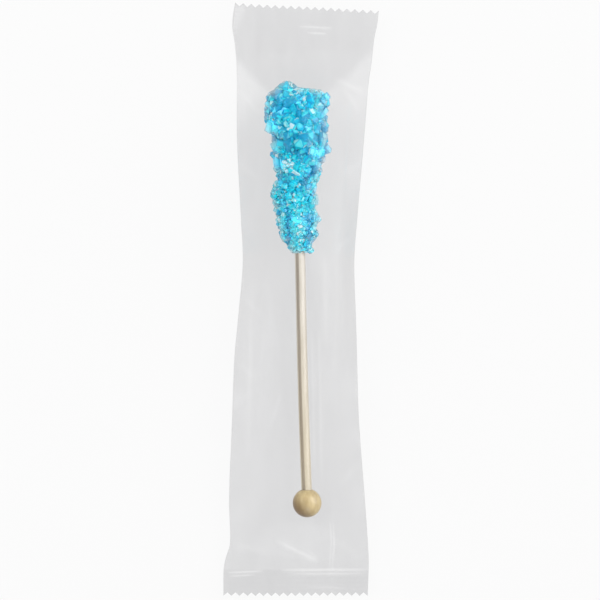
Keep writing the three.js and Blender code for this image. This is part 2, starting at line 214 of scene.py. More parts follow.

# Tones: 0 is deep blue, 1 the brightest facet. Glint paints highlights on a share glints of the facets, and
# rim is painted shade at their edges
TONE = {"middle": 0.37, "crystal": 0.25, "face": 0.23, "glint": 0.25, "glints": 0.02, "rim": 0.78}
SPREAD = {"fine": 0.7, "coarse": 1.45}  # how much the tones vary in the fine and the coarse part
CORE_TONE = {"middle": 0.10, "patches": 0.5}
PAINTED_FLANK_SHADE = {"from": 0.35, "painted_shade": 0.22}  # painted shade: crystals that face sideways get a deeper tone
PATCHES = np.array([  # x, y, half width, half length, and how much paler the candy is there
    [-4.5, 50.1, 1.7, 1.9, 0.45], [-12, 65.5, 3, 3.6, 0.5], [-4.1, 80.8, 4.5, 2.4, 0.45],
    [-1, 78.5, 8, 2.4, 0.2], [10, 69, 2.4, 8, 0.3], [8, 57.6, 3.5, 2.6, -0.08], [-9.5, 38, 1.8, 16, 0.15],
    [4.3, 55.4, 2.2, 2, 0.35], [-1.6, 65.5, 2.2, 3.2, 0.28], [5.6, 43.5, 1.6, 5, 0.25],
    [-2.3, 37.3, 1.6, 2.4, 0.3], [-0.8, 26.5, 2.4, 6.5, 0.24], [-4.2, 27, 0.8, 6, -0.35],
    [3, 26, 0.8, 5.5, -0.25], [-9, 77.3, 1.7, 1.5, -0.45], [-5.6, 71, 4.5, 4, -0.2],
    [-3.6, 57.5, 4.5, 4, -0.18], [-6, 36, 2.6, 3.5, -0.1], [1.5, 61, 2, 3, -0.15], [-1, 29, 9, 11, 0.14],
])
VALLEYS = np.array([  # lines between the candy's lumps, darkened with painted shade: from x, y to x, y, half width and depth of tone
    [9.4, 76.2, 7.9, 68.6, 0.7, 0.55], [7.9, 68.6, 9.4, 64.8, 0.7, 0.5], [1.9, 54.3, 4.1, 59.6, 0.7, 0.55],
    [4.1, 59.6, 10.9, 60.3, 0.7, 0.5], [11.3, 57.3, 7.2, 52.8, 0.7, 0.5], [7.2, 52.8, 0.4, 42.2, 0.7, 0.55],
    [-13, 61.8, -6.5, 61, 0.8, 0.55], [-11.5, 53, -7, 48.5, 0.7, 0.45], [-9, 45, -3, 44, 0.7, 0.45],
    [-4.3, 34, -4.3, 20.5, 0.7, 0.45], [3.3, 33, 3.3, 20.5, 0.7, 0.4], [-9.5, 71.5, -4, 74.5, 0.7, 0.4],
    [-3, 69, 2.5, 64, 0.7, 0.4], [1, 78, -1.5, 70.5, 0.7, 0.4], [-6, 57, 0.5, 53, 0.8, 0.25],
])
VALLEY = {"sink": 2.0, "painted_shade": 1.2, "line": 0.9}  # how far its crystals sink, how much painted shade deepens their tone, and how much painted shade the line puts across their faces
CANDY_TONES = (  # tone and colour, from the depths to the brightest facets
    (0.0, (0.0, 0.42, 0.69)), (0.1, (0.0, 0.64, 0.95)), (0.35, (0.0, 0.80, 1.0)),
    (0.6, (0.02, 0.87, 1.0)), (0.8, (0.18, 0.93, 1.0)), (1.0, (0.74, 0.97, 1.0)),
)
PAINTED_BACKLIGHT = {  # painted backlight: the pale light from behind, through the candy's thin rim and the strip, is mixed into its colour
    "most": 0.68, "depth": 1.6, "vary": 0.5, "limit": 0.8, "strip": 0.10, "colour": (0.74, 0.79, 0.79),
    "core": 0.14, "from_z": -3.5, "to_z": -1.0,  # from the candy's middle: the underside stays blue
}
CANDY_LOOKS = {  # transmission, roughness, and unevenness of tone
    "candy_core": (0.0, 0.4, 0.3), "candy_crystals": (0.55, 0.06, 0.08), "candy_grains": (0.5, 0.18, 0.05),
}
SUGAR = {"ior": 1.38, "scatter": 0.35, "scatter_depth": 0.0008}
UNEVEN = {"scale": 900, "from": 0.25, "to": 0.75}

# ---- Studio, in metres. The lens and the sensor are in millimetres ----
FLOOR = {"half": 3, "z": -0.0002, "colour": (0.05, 0.05, 0.05), "roughness": 0.9, "glow": 0.855}
WORLD_SIDE = {"towards": (0.75, -0.65, 0), "dark": 0.55, "bright": 1.4}
WORLD_TOP = {"from": 0.86, "to": 0.97, "share": 0.6}  # dimmer straight above
LAMPS = (  # name, place, size, power, and whether the film mirrors it
    ("key", (0.8, 0.3, 0.5), 1.0, 14.0, True),
    ("front", (0.1, -0.9, 0.75), 0.6, 3.0, True),
    ("glint", (0.25, 0.5, 0.9), 0.1, 0.3, True),
    ("fill", (-0.7, 0.2, 0.8), 1.0, 14.5, False),
)
CAMERA = {"lens": 200, "sensor": 36, "clip_end": 20, "view_width": 226.2 * MM, "view_z": 0.009}


def smoothstep(v, low, high):
    t = np.clip((v - low) / (high - low), 0, 1)
    return t * t * (3 - 2 * t)


def blend(a, b, share):
    return a + (b - a) * share


def smooth_max(a, b, width):
    return 0.5 * (a + b + np.hypot(a - b, width))


def smooth_min(a, b, width):
    return 0.5 * (a + b - np.hypot(a - b, width))


def along(stations, y, column):
    """Value in one column of a table of stations, on a smooth curve through them."""
    ys, values = stations[:, 0], stations[:, column]
    last = len(ys) - 1
    slopes = np.array([
        (values[min(k + 1, last)] - values[max(k - 1, 0)]) / (ys[min(k + 1, last)] - ys[max(k - 1, 0)])
        for k in range(last + 1)
    ])
    i = np.clip(np.searchsorted(ys, y), 1, last)
    span = ys[i] - ys[i - 1]
    t = np.clip((y - ys[i - 1]) / span, 0, 1)
    bow = span * t * (1 - t) * ((1 - t) * slopes[i - 1] - t * slopes[i])
    return values[i - 1] + (values[i] - values[i - 1]) * t * t * (3 - 2 * t) + bow


def ridges_at(x, y, ridges):
    """Straight ridges that fade out towards both ends, as their height at a point."""
    height = 0
    for x0, y0, x1, y1, half_width, rise in ridges:
        run = np.array([x1 - x0, y1 - y0])
        t = ((x - x0) * run[0] + (y - y0) * run[1]) / (run @ run)
        aside = ((x - x0) * run[1] - (y - y0) * run[0]) / np.linalg.norm(run)
        fade = np.sin(math.pi * np.clip(t, 0, 1)) ** RIDGE_CURVE["along"]
        height = height + rise * fade * np.exp(-np.abs(aside / half_width) ** RIDGE_CURVE["across"])
    return height


# ---- Film's form ----


def half_section(half_width, rise, power):
    """The upper film's curve from the right fold over to the left fold, as x and z."""
    across = np.linspace(1, -1, SECTION_SAMPLES + 1)
    return half_width * across, rise * (1 - np.abs(across) ** power)


def lengths_along(x, z):
    return np.concatenate([[0], np.cumsum(np.hypot(np.diff(x), np.diff(z)))])


def rise_for(half_width, power, film_length):
    """Film doesn't stretch, so a section narrower than its film stands up by what is left over."""
    low, high = CRIMP["thickness"] / 2, film_length / 2
    for _ in range(RISE_PASSES):
        middle = (low + high) / 2
        if lengths_along(*half_section(half_width, middle, power))[-1] > film_length:
            high = middle
        else:
            low = middle
    return low


def section_at(y):
    """The tube's folds, rise, power and mid height at one place along the wrap."""
    left, right = along(FOLDS, y, 1), along(FOLDS, y, 2)
    from_ball, from_candy = y - CRIMP_Y["ball"], CRIMP_Y["candy"] - y
    power = along(SECTION_POWER, y, 1)
    slack = SLACK["most"] * smoothstep(min(from_ball, from_candy), 0, SLACK["reach"])
    rise = rise_for((right - left) / 2, power, FLAT_WIDTH - slack)
    crimp_z = blend(CRIMP_Z["ball"], CRIMP_Z["candy"], np.clip(from_ball / (from_ball + from_candy), 0, 1))
    sink = blend(SINK["stick"], SINK["candy"], smoothstep(y, SINK["from_y"], SINK["to_y"]))
    from_tip = min(y - END_Y["ball"], END_Y["candy"] - y)
    softness = CRIMP["blend"] * smoothstep(from_tip, 0, CRIMP["blend_over"])
    middle = smooth_max(under_panel(rise, panel_at(0, y)) - sink, crimp_z, softness)
    return {
        "left": left, "right": right, "rise": rise, "power": power, "middle": middle,
        "crimped": from_ball <= 0 or from_candy <= 0,
    }


def panel_at(off_centre, y):
    """How high the flat end panels let the film rise at a point."""
    ball_run = y - PANEL_START["ball"] - PANEL_TILT["ball"] * off_centre
    candy_run = PANEL_START["candy"] + PANEL_TILT["candy"] * off_centre - y
    return np.minimum(END_SLOPE["ball"] * ball_run, END_SLOPE["candy"] * candy_run)


def under_panel(z, panel):
    """Film height as far as the flat end panels let it rise."""
    return np.maximum(CRIMP["thickness"] / 2, smooth_min(z, panel, PANEL_BLEND))


def end_at(y):
    return "candy" if y > 0 else "ball"


def tooth_root(end):
    return END_Y[end] - TEETH["depth"] * np.sign(END_Y[end])


def rib_at(y):
    """Height of a crimp's ribs, which run across the wrap."""
    end = end_at(y)
    depth_in = np.clip((y - CRIMP_Y[end]) / (tooth_root(end) - CRIMP_Y[end]), 0, 1)
    phase = depth_in * (2 * CRIMP["ribs"] + 1)
    return -CRIMP["rib_depth"] / 2 * np.cos(math.pi * phase)


def rib_share(x, y):
    """How much of their depth the ribs have: the candy end's are pressed well in one place only."""
    if end_at(y) == "ball":
        return 1
    ribs = CANDY_END_RIBS
    return blend(ribs["faint"], ribs["deep"], np.exp(-(((x - ribs["deep_x"]) / ribs["half_width"]) ** 4)))


def lumps_at(x, y):
    """Height that the candy's lumps add to the upper film."""
    turn = 2 * math.pi / LUMPS["spacing"]
    crossing = CROSS_LUMPS["share"] * np.sin(CROSS_LUMPS["finer"] * turn * x + CROSS_LUMPS["slant"] * y)
    over_candy = smoothstep(y, LUMPS["from_y"], LUMPS["from_y"] + LUMPS["fade"])
    over_candy *= 1 - smoothstep(y, LUMPS["to_y"] - LUMPS["fade"], LUMPS["to_y"])
    lumps = LUMPS["rise"] * (np.sin(turn * y + LUMPS["slant"] * x) + crossing)
    return lumps * np.exp(-((x / LUMPS["half_width"]) ** 2)) * over_candy


def crease_at(x, y, upper, left, right):
    """Height that the creases and the candy add to the film at points of its upper or lower side."""
    from_crimp = min(y - CRIMP_Y["ball"], CRIMP_Y["candy"] - y)
    phase = GATHER["upper"] if upper else GATHER["lower"]
    turn = 2 * math.pi * GATHER["folds"] * ACROSS + phase + GATHER["drift"] * y
    gather = GATHER["rise"] * np.cos(turn) * smoothstep(from_crimp, 0, GATHER["start"])
    gather = gather * math.exp(-from_crimp / GATHER["reach"])
    near_fold = np.minimum(x - left, right - x)
    side_phase = np.where(x > (left + right) / 2, 0, BUCKLE["left_phase"])
    buckle = BUCKLE["rise"] * np.sin(2 * math.pi * y / BUCKLE["pitch"] + side_phase)
    buckle = buckle * np.exp(-near_fold / BUCKLE["reach"]) * smoothstep(from_crimp, 0, BUCKLE["start"])
    if not upper:
        return gather + buckle
    return gather + buckle + lumps_at(x, y) + ridges_at(x, y, CREASES)


def bump_at(x, y, section, upper, height):
    """How far ribs, lines and creases lift the film's upper or lower side."""
    if section["crimped"]:
        return rib_at(y) * rib_share(x, y) + ridges_at(x, y, CRIMP_LINES)
    crease = crease_at(x, y, upper, section["left"], section["right"])
    inward = CREASE_MOST["share"] * height
    lowest, highest = (-inward, CREASE_MOST["rise"]) if upper else (-CREASE_MOST["rise"], inward)
    bump = np.clip(crease, lowest, highest)
    bump[0], bump[-1] = crease[0], crease[-1]
    return bump


def crimp_wave_at(x, y, left):
    """How far the crimps wave up and down, with the one corner that turns up."""
    past = max(CRIMP_Y["ball"] - y, y - CRIMP_Y["candy"])
    phase = CRIMP_WAVE["phase"][end_at(y)]
    wave = CRIMP_WAVE["rise"] * np.sin(2 * math.pi * x / CRIMP_WAVE["length"] + phase)
    from_corner = np.clip(1 - (x - left) / CORNER_CURL["width"], 0, 1)
    curl_y = smoothstep(y, END_Y["candy"] - CORNER_CURL["length"], END_Y["candy"])
    return wave * smoothstep(past, -CRIMP_WAVE["reach"], 0) + CORNER_CURL["rise"] * from_corner**2 * curl_y


def fin_at(y):
    """How far the seam stands out below each column of the underside."""
    first = FIN["first_column"] * FINER
    last = first + FIN["columns"] * FINER
    soft = FINER / 2
    on_fin = smoothstep(COLUMN, first - soft, first + soft)
    on_fin = on_fin * (1 - smoothstep(COLUMN, last - soft, last + soft))
    pressed = 1 - smoothstep(CRIMP_Y["candy"] - y, 0, FIN["pressed_over"])
    return blend(FIN["thickness"], FIN["pressed"], pressed) * on_fin


def notch_at(y):
    """How far each column of a cut end lies back from the tips of its teeth."""
    if y not in END_Y.values():
        return 0
    tooth = np.abs((COLUMN / FINER) % 2 - 1)
    return TEETH["depth"] * np.sign(y) * (1 - tooth)


def gusset_painted_sheen(off_centre, y, height):
    """Painted sheen: how much paler the film is beside the candy end's panel, where nothing holds it flat."""
    free = smoothstep(panel_at(off_centre, y) - height, 0, PAINTED_GUSSET_SHEEN["soft"])
    side = np.where(off_centre > 0, PAINTED_GUSSET_SHEEN["right"], PAINTED_GUSSET_SHEEN["left"])
    return side * free * smoothstep(y, PAINTED_GUSSET_SHEEN["from_y"], PAINTED_GUSSET_SHEEN["to_y"])


# painted sheen along the seam's two lines
def fin_line_painted_sheen(y):
    reach = np.clip((y - FIN_LINES["from_y"]) / (FIN_LINES["to_y"] - FIN_LINES["from_y"]), 0, 1)
    lines = [np.exp(-(((COLUMN - c) / FIN_LINES["half_width"]) ** 2)) for c in FIN_LINES["columns"]]
    return FIN_LINES["pale"] * math.sin(math.pi * reach) ** RIDGE_CURVE["along"] * sum(lines)


def half_ring(section, y):
    """One side of the tube: x of its columns, and their height over the folds."""
    half_width, centre = (section["right"] - section["left"]) / 2, (section["right"] + section["left"]) / 2
    if section["crimped"]:
        x = centre + half_width * (1 - 2 * ACROSS)
        height = np.full(COLUMNS + 1, CRIMP["thickness"] / 2)
    else:
        curve_x, curve_z = half_section(half_width, section["rise"], section["power"])
        lengths = lengths_along(curve_x, curve_z)
        x = centre + np.interp(ACROSS * lengths[-1], lengths, curve_x)
        height = under_panel(np.interp(ACROSS * lengths[-1], lengths, curve_z), panel_at(x - centre, y))
    height[0] = height[-1] = 0
    return x, height


def film_ring(y):
    """One ring of the film as x, y, z and painted sheen: over the top to the left, then back below."""
    section = section_at(y)
    x, height = half_ring(section, y)
    off_centre = x - (section["right"] + section["left"]) / 2
    skew = CANDY_END_SKEW * smoothstep(y, SKEW_FROM_Y, CRIMP_Y["candy"])
    out_y = y - notch_at(y) + skew * off_centre
    base = section["middle"] + crimp_wave_at(x, y, section["left"])
    upper_z = base + bump_at(x, y, section, True, height) + height
    lower_z = base + bump_at(x, y, section, False, height) - height - fin_at(y)

    gusset_sheen = gusset_painted_sheen(off_centre, y, height)
    lines, paler = (CRIMP_LINES, CRIMP_PAINTED_SHEEN) if section["crimped"] else (CREASES, CREASE_PAINTED_SHEEN)
    upper_painted_sheen = gusset_sheen + paler * ridges_at(x, y, lines)
    lower_painted_sheen = gusset_sheen + fin_line_painted_sheen(y)
    upper = np.column_stack([x, out_y, np.maximum(0, upper_z), upper_painted_sheen])
    lower = np.column_stack([x, out_y, np.maximum(0, lower_z), lower_painted_sheen])
    return np.vstack([upper, lower[-2:0:-1]])


def crimp_rows(end):
    return np.linspace(CRIMP_Y[end], tooth_root(end), CRIMP_ROWS + 1)


def row_places():
    """Where the rings lie along the wrap."""
    middle = (CRIMP_Y["candy"] + CRIMP_Y["ball"]) / 2
    reach = (CRIMP_Y["candy"] - CRIMP_Y["ball"]) / 2
    u = np.linspace(-1, 1, BODY_ROWS + 1)[1:-1]
    body = middle + reach * u * (1 + ROW_CROWDING * (1 - u * u))
    return np.concatenate([
        [END_Y["ball"]], crimp_rows("ball")[::-1], body, crimp_rows("candy"), [END_Y["candy"]],
    ])


# ---- Meshes ----


def add_object(name, data):
    obj = bpy.data.objects.new(name, data)
    bpy.context.scene.collection.objects.link(obj)
    return obj


def mesh_object(name, vertices, faces, smooth=True):
    mesh = bpy.data.meshes.new(name)
    mesh.from_pydata([tuple(v) for v in vertices], [], faces)
    mesh.validate()
    mesh.update()
    obj = add_object(name, mesh)
    if smooth:
        mesh.polygons.foreach_set("use_smooth", [True] * len(mesh.polygons))
    return obj


def keep_values(obj, name, domain, values):
    """Keeps a value for each POINT or face CORNER, in the mesh's order."""
    attribute = obj.data.attributes.new(name, "FLOAT", domain)
    attribute.data.foreach_set("value", values.reshape(-1).astype(np.float32))


def ring_faces(rows, around):
    """Faces of a closed body of rings: the quads between them, and one over each end."""
    index = np.arange(rows * around).reshape(rows, around)
    after = np.roll(index, -1, axis=1)
    quads = np.stack([index[:-1], after[:-1], after[1:], index[1:]], axis=-1).reshape(-1, 4)
    return quads.tolist() + [index[0, ::-1].tolist(), index[-1].tolist()]


def build_film(rings, pale, shift):
    """The film as one closed tube: at each end, strips join its upper side to its lower one."""
    rows, ring = rings.shape[:2]
    index = np.arange(rows * ring).reshape(rows, ring)
    after = np.roll(index, -1, axis=1)
    faces = np.stack([index[:-1], index[1:], after[1:], after[:-1]], axis=-1).reshape(-1, 4).tolist()
    for row, facing_back in ((0, True), (rows - 1, False)):
        for column in range(COLUMNS):
            corners = [column, (ring - column) % ring, ring - column - 1, column + 1]
            strip = list(dict.fromkeys(index[row, corners].tolist()))
            faces.append(strip[::-1] if facing_back else strip)
    obj = mesh_object("film", (rings.reshape(-1, 3) + shift) * MM, faces)
    # pale is the film's painted sheen, for each point
    keep_values(obj, "pale", "POINT", pale)
    return obj


# ---- Crystals' form ----


def crystal_form(pairs):
    """One sugar crystal as unit corners and faces: what its pairs of opposite faces leave between them."""
    planes = []
    for normal, distance in pairs:
        n = np.array(normal) / np.linalg.norm(normal)
        planes += [(n, distance), (-n, distance)]
    corners = []
    for i, j, k in itertools.combinations(range(len(planes)), 3):
        m = np.array([planes[i][0], planes[j][0], planes[k][0]])
        if abs(np.linalg.det(m)) < NEARLY_NONE:
            continue
        p = np.linalg.solve(m, [planes[i][1], planes[j][1], planes[k][1]])
        inside = all(p @ n <= d + NEARLY_NONE for n, d in planes)
        if inside and all(np.linalg.norm(p - q) > SAME_PLACE for q in corners):
            corners.append(p)
    corners = np.array(corners)
    faces = []
    for n, d in planes:
        on = [i for i, p in enumerate(corners) if abs(p @ n - d) < SAME_PLACE]
        if len(on) < 3:
            continue
        middle = corners[on].mean(axis=0)
        u = corners[on[0]] - middle
        u /= np.linalg.norm(u)
        v = np.cross(n, u)
        on.sort(key=lambda i: math.atan2((corners[i] - middle) @ v, (corners[i] - middle) @ u))
        faces.append(on)
    return corners, faces


def rimmed(form):
    """Gives each face a rim for painted edge shade: corners, polygons, each polygon's face, and 1 for each
    corner on an edge.
    """
    corners, faces = form
    points = list(corners)
    on_edge = [1.0] * len(points)
    polygons, owner = [], []
    for number, face in enumerate(faces):
        middle = corners[face].mean(axis=0)
        inner = []
        for i in face:
            inner.append(len(points))
            points.append(corners[i] + (middle - corners[i]) * RIM)
            on_edge.append(0.0)
        polygons.append(inner)
        owner.append(number)
        for k in range(len(face)):
            after = (k + 1) % len(face)
            polygons.append([face[k], face[after], inner[after], inner[k]])
            owner.append(number)
    return np.array(points), polygons, np.array(owner), np.array(on_edge)


def plain(form):
    """The same without rims."""
    corners, faces = form
    return corners, faces, np.arange(len(faces)), np.zeros(len(corners))


def random_rotations(rng, count):
    q = rng.normal(size=(count, 4))
    q /= np.linalg.norm(q, axis=1)[:, None]
    w, x, y, z = q.T
    return np.stack([
        np.stack([1 - 2 * (y * y + z * z), 2 * (x * y - z * w), 2 * (x * z + y * w)], axis=-1),
        np.stack([2 * (x * y + z * w), 1 - 2 * (x * x + z * z), 2 * (y * z - x * w)], axis=-1),
        np.stack([2 * (x * z - y * w), 2 * (y * z + x * w), 1 - 2 * (x * x + y * y)], axis=-1),
    ], axis=1)


# ---- Candy's form ----


class Tube:
    """Heights of the film's inside over any point, from sections kept along the wrap."""

    def __init__(self):
        sections = [section_at(y) for y in TUBE_YS]
        kept = ("left", "right", "rise", "power", "middle")
        self.rows = {k: np.array([s[k] for s in sections]) for k in kept}

    def limits(self, x, y):
        row = {k: np.interp(y, TUBE_YS, v) for k, v in self.rows.items()}
        off_centre = x - (row["right"] + row["left"]) / 2
        across = np.clip(np.abs(off_centre) * 2 / (row["right"] - row["left"]), 0, ACROSS_MOST)
        height = under_panel(row["rise"] * (1 - across ** row["power"]), panel_at(off_centre, y))
        low = np.maximum(TUBE_ROOM["floor"], row["middle"] - height + TUBE_ROOM["under"])
        return low, row["middle"] + height - TUBE_ROOM["over"]


def stick_z(y):
    return BALL["radius"] + FILM_UNDER_BALL + DOWEL["rise"] * (y - BALL["y"])


def candy_row(y):
    """The candy's left and right x and its depth."""
    return [np.interp(y, CANDY[:, 0], CANDY[:, k]) for k in (1, 2, 3)]


def candy_point(y, angle, inset, tube):
    """A point of the candy's surface, or that far inside it."""
    left, right, depth = candy_row(y)
    centre, half_x, half_z = (left + right) / 2, (right - left) / 2, depth / 2
    low, high = tube.limits(centre, y)
    centre_z = np.clip(stick_z(y), low + half_z, np.maximum(high - half_z, low + half_z))
    half_x, half_z = np.maximum(half_x - inset, CANDY_LEAST), np.maximum(half_z - inset, CANDY_LEAST)
    return np.stack([centre + half_x * np.cos(angle), y, centre_z + half_z * np.sin(angle)], axis=-1)


def middle_z(y, tube):
    return candy_point(y, 0, 0, tube)[..., 2]


def sticks_out(points, tube):
    """Which crystals have a corner outside the candy's outline or the film."""
    x, y, z = points[..., 0], points[..., 1], points[..., 2]
    left, right, _ = candy_row(y)
    low, high = tube.limits(x, y)
    out = (y < CANDY[0, 0]) | (y > CANDY[-1, 0]) | (z < low) | (z > high)
    out |= (x < left - RIM_ROOM) | (x > right + RIM_ROOM)
    return out.any(axis=1)


def pull_in(points, place, tube):
    """Moves crystals that stick out inwards, and says which lie inside in the end."""
    inward = candy_point(np.clip(place[:, 1], *PULL_Y), 0, TO_AXIS, tube) - place
    inward /= np.linalg.norm(inward, axis=1)[:, None] + TINY
    for _ in range(PULL["steps"]):
        out = sticks_out(points, tube)
        points[out] += PULL["step"] * inward[out][:, None]
    return ~sticks_out(points, tube)


def strip_share(x, y):
    return np.exp(-(((x - STRIP["x"]) / STRIP["half_x"]) ** 4) - ((y - STRIP["y"]) / STRIP["half_y"]) ** 4)


def patch_tone(x, y):
    """How much paler or darker than the rest the candy is at a point of its top, with painted shade along the
    valleys between its lumps.
    """
    tone = 0
    for px, py, half_x, half_y, lift in PATCHES:
        tone = tone + lift * np.exp(-(((x - px) / half_x) ** 2) - ((y - py) / half_y) ** 2)
    return tone - VALLEY["painted_shade"] * ridges_at(x, y, VALLEYS)


def painted_backlight_share(points, tube):
    """How much painted backlight, the pale light from behind, goes into the colour: most at the thin rim,
    seen from above.
    """
    x, y, z = points[..., 0], points[..., 1], points[..., 2]
    point = points[..., None, :2]
    run = np.roll(CANDY_RIM, -1, axis=0) - CANDY_RIM
    t = np.clip(((point - CANDY_RIM) * run).sum(axis=-1) / (run**2).sum(axis=-1), 0, 1)
    from_rim = np.linalg.norm(point - CANDY_RIM - t[..., None] * run, axis=-1).min(axis=-1)
    share = PAINTED_BACKLIGHT["most"] * np.exp(-from_rim / PAINTED_BACKLIGHT["depth"]) + PAINTED_BACKLIGHT["strip"] * strip_share(x, y)
    return share * smoothstep(z - middle_z(y, tube), PAINTED_BACKLIGHT["from_z"], PAINTED_BACKLIGHT["to_z"])


def lead_seeds(tube):
    """Places, sizes and tones of the crystals that stand out."""
    x, y, size, share, tone = LEADS.T
    left, right, _ = candy_row(y)
    across = (x - (left + right) / 2) / ((right - left) / 2)
    angle = np.arccos(np.clip(across, -LEAD["across_most"], LEAD["across_most"]))
    top = candy_point(y, angle, LEAD["inset"], tube)[:, 2] - LEAD["sunk"] * size
    return np.stack([x, y, blend(middle_z(y, tube), top, share)], axis=-1), size, tone


def seeds(rng, kind, tube):
    """Places, sizes and tones of the crystals of one kind, scattered over the candy."""
    y = rng.uniform(CANDY[0, 0] + SEED_ENDS, CANDY[-1, 0] - SEED_ENDS, kind["count"])
    angle = rng.uniform(0, 2 * math.pi, kind["count"])
    coarse = smoothstep(y, *GROWN_COARSE)
    size = blend(*kind["size"], coarse) * rng.lognormal(0, SIZE_SPREAD, kind["count"])
    surface = candy_point(y, angle, blend(*kind["inset"], coarse), tube)
    out = surface - candy_point(y, angle, TO_AXIS, tube)
    out /= np.linalg.norm(out, axis=1)[:, None] + TINY
    strip = strip_share(surface[:, 0], surface[:, 1]) * (out[:, 2] > 0)
    deep = (kind["sunk"] + STRIP["sunk"] * strip) * size
    deep += VALLEY["sink"] * ridges_at(surface[:, 0], surface[:, 1], VALLEYS)
    place = surface - out * deep[:, None]

    leads, lead_size, _ = lead_seeds(tube)
    apart = np.linalg.norm((place[:, None] - leads[None])[..., :2], axis=2) - LEAD_ROOM * lead_size[None]
    has_room = (apart.min(axis=1) > 0) & (kind["on_strip"] | (strip < STRIP["bare"]))
    free = (out[:, 2] < UNDERSIDE) | has_room
    place, size = place[free], size[free]
    tone = TONE["middle"] + patch_tone(place[:, 0], place[:, 1]) + rng.normal(0, TONE["crystal"], len(size))
    # painted shade on crystals that face sideways
    tone -= PAINTED_FLANK_SHADE["painted_shade"] * smoothstep(np.abs(out[free, 2]), PAINTED_FLANK_SHADE["from"], 0)
    return place, size, tone


def grow(name, rng, form, seeded, tube, shift):
    """Crystals on their seeds, each turned at random, with a tone for each of their faces."""
    corners, polygons, owner, on_edge = form
    place, size, tone = seeded
    stretch = np.stack([rng.uniform(low, high, len(size)) for low, high in STRETCH], axis=-1)
    stretched = corners[None] * (stretch * (size / 2)[:, None])[:, None]
    points = place[:, None] + np.einsum("nij,nkj->nki", random_rotations(rng, len(size)), stretched)
    kept = pull_in(points, place, tube)
    points, place, tone = points[kept], place[kept], tone[kept]

    count = len(points)
    faces = [[i * len(corners) + v for v in face] for i in range(count) for face in polygons]
    obj = mesh_object(name, (points.reshape(-1, 3) + shift) * MM, faces, smooth=False)

    loop = np.concatenate(polygons)
    loop_owner = np.repeat(owner, [len(face) for face in polygons])
    spread = blend(SPREAD["fine"], SPREAD["coarse"], smoothstep(place[:, 1], *GROWN_COARSE))
    spread = (spread * (1 - STRIP["even"] * strip_share(place[:, 0], place[:, 1])))[:, None]
    facets = (count, int(owner.max()) + 1)
    facet = tone[:, None] + spread * rng.normal(0, TONE["face"], facets)
    # painted highlights: a few facets get a paler tone as glints
    facet += TONE["glint"] * (rng.uniform(size=facets) < TONE["glints"])
    # painted shade along the valley lines, across the crystals' faces
    painted_valley_shade = VALLEY["line"] * ridges_at(points[..., 0], points[..., 1], VALLEYS)[:, loop]
    # painted shade at each facet's edge
    painted_shade = spread * TONE["rim"] * on_edge[loop][None]
    keep_values(obj, "tone", "CORNER", facet[:, loop_owner] - painted_shade - painted_valley_shade)
    # painted backlight for each corner
    clear = painted_backlight_share(points, tube) * (1 + PAINTED_BACKLIGHT["vary"] * rng.normal(0, 1, (count, 1)))
    keep_values(obj, "clear", "CORNER", np.clip(clear, 0, PAINTED_BACKLIGHT["limit"])[:, loop])
    return obj


def build_core(tube, shift):
    """What the crystals grow from: a lumpy body a little inside the candy's outline."""
    rows, around = CORE["rows"], CORE["around"]
    ys = np.linspace(CORE["from_y"], CORE["to_y"], rows)
    angles = np.linspace(0, 2 * math.pi, around, endpoint=False)
    y, angle = np.meshgrid(ys, angles, indexing="ij")
    inset = CORE["inset"]
    for rise, number, twist in CORE_LUMPS:
        inset = inset + rise * np.sin(number * angle + twist * y)
    outline = candy_point(y, angle, 0, tube)
    strip = strip_share(outline[..., 0], y) * (np.sin(angle) > 0)
    points = candy_point(y, angle, blend(inset, STRIP["inset"], strip), tube)
    faces = ring_faces(rows, around)
    obj = mesh_object("candy_core", (points.reshape(-1, 3) + shift) * MM, faces)
    loop = np.concatenate(faces)
    tone = CORE_TONE["middle"] + patch_tone(points[..., 0], y) * CORE_TONE["patches"]
    keep_values(obj, "tone", "CORNER", tone.reshape(-1)[loop])
    # painted backlight: at least a little over all the core
    clear = np.maximum(painted_backlight_share(points, tube), PAINTED_BACKLIGHT["core"])
    keep_values(obj, "clear", "CORNER", clear.reshape(-1)[loop])
    return obj


# ---- Stick ----


def lathe(name, profile, around, place):
    """A solid of revolution. Its profile is pairs of distance along the axis and radius."""
    points = []
    for s, r in profile:
        for k in range(around):
            a = 2 * math.pi * k / around
            points.append(place(s, r * math.cos(a), r * math.sin(a)))
    return mesh_object(name, np.array(points), ring_faces(len(profile), around))


def stick_frame():
    """The dowel's direction, and the two across it."""
    axis = np.array([DOWEL["lean_x"], 1, DOWEL["rise"]])
    axis /= np.linalg.norm(axis)
    side = np.cross(axis, [0, 0, 1])
    side /= np.linalg.norm(side)
    return axis, side, np.cross(side, axis)


def dowel_profile(start, length):
    radius, bevel = DOWEL["radius"], DOWEL_MESH["bevel"]
    straight = np.linspace(start + bevel, length - bevel, DOWEL_MESH["rows"])
    foot, tip = (start, radius * DOWEL_MESH["foot"]), (length, radius * DOWEL_MESH["tip"])
    return [foot, *((s, radius) for s in straight), tip]


def ball_profile(dowel_start):
    """The ball from its far pole to the bore's mouth, and in to the bore's floor."""
    radius, hole = BALL["radius"], DOWEL["radius"] + BORE["play"]
    hole_angle = math.asin(hole / radius)
    mouth, floor = radius * math.cos(hole_angle), dowel_start - BORE["past_dowel"]
    angles = np.linspace(BALL["pole"], math.pi - hole_angle - BORE["round_over"], BALL["rows"])
    return [
        *((-radius * math.cos(a), radius * math.sin(a)) for a in angles),
        (mouth - BORE["lip_from"], hole + BORE["lip"]), (mouth - BORE["lip_to"], hole),
        (floor, hole), (floor, BORE_FLOOR),
    ]


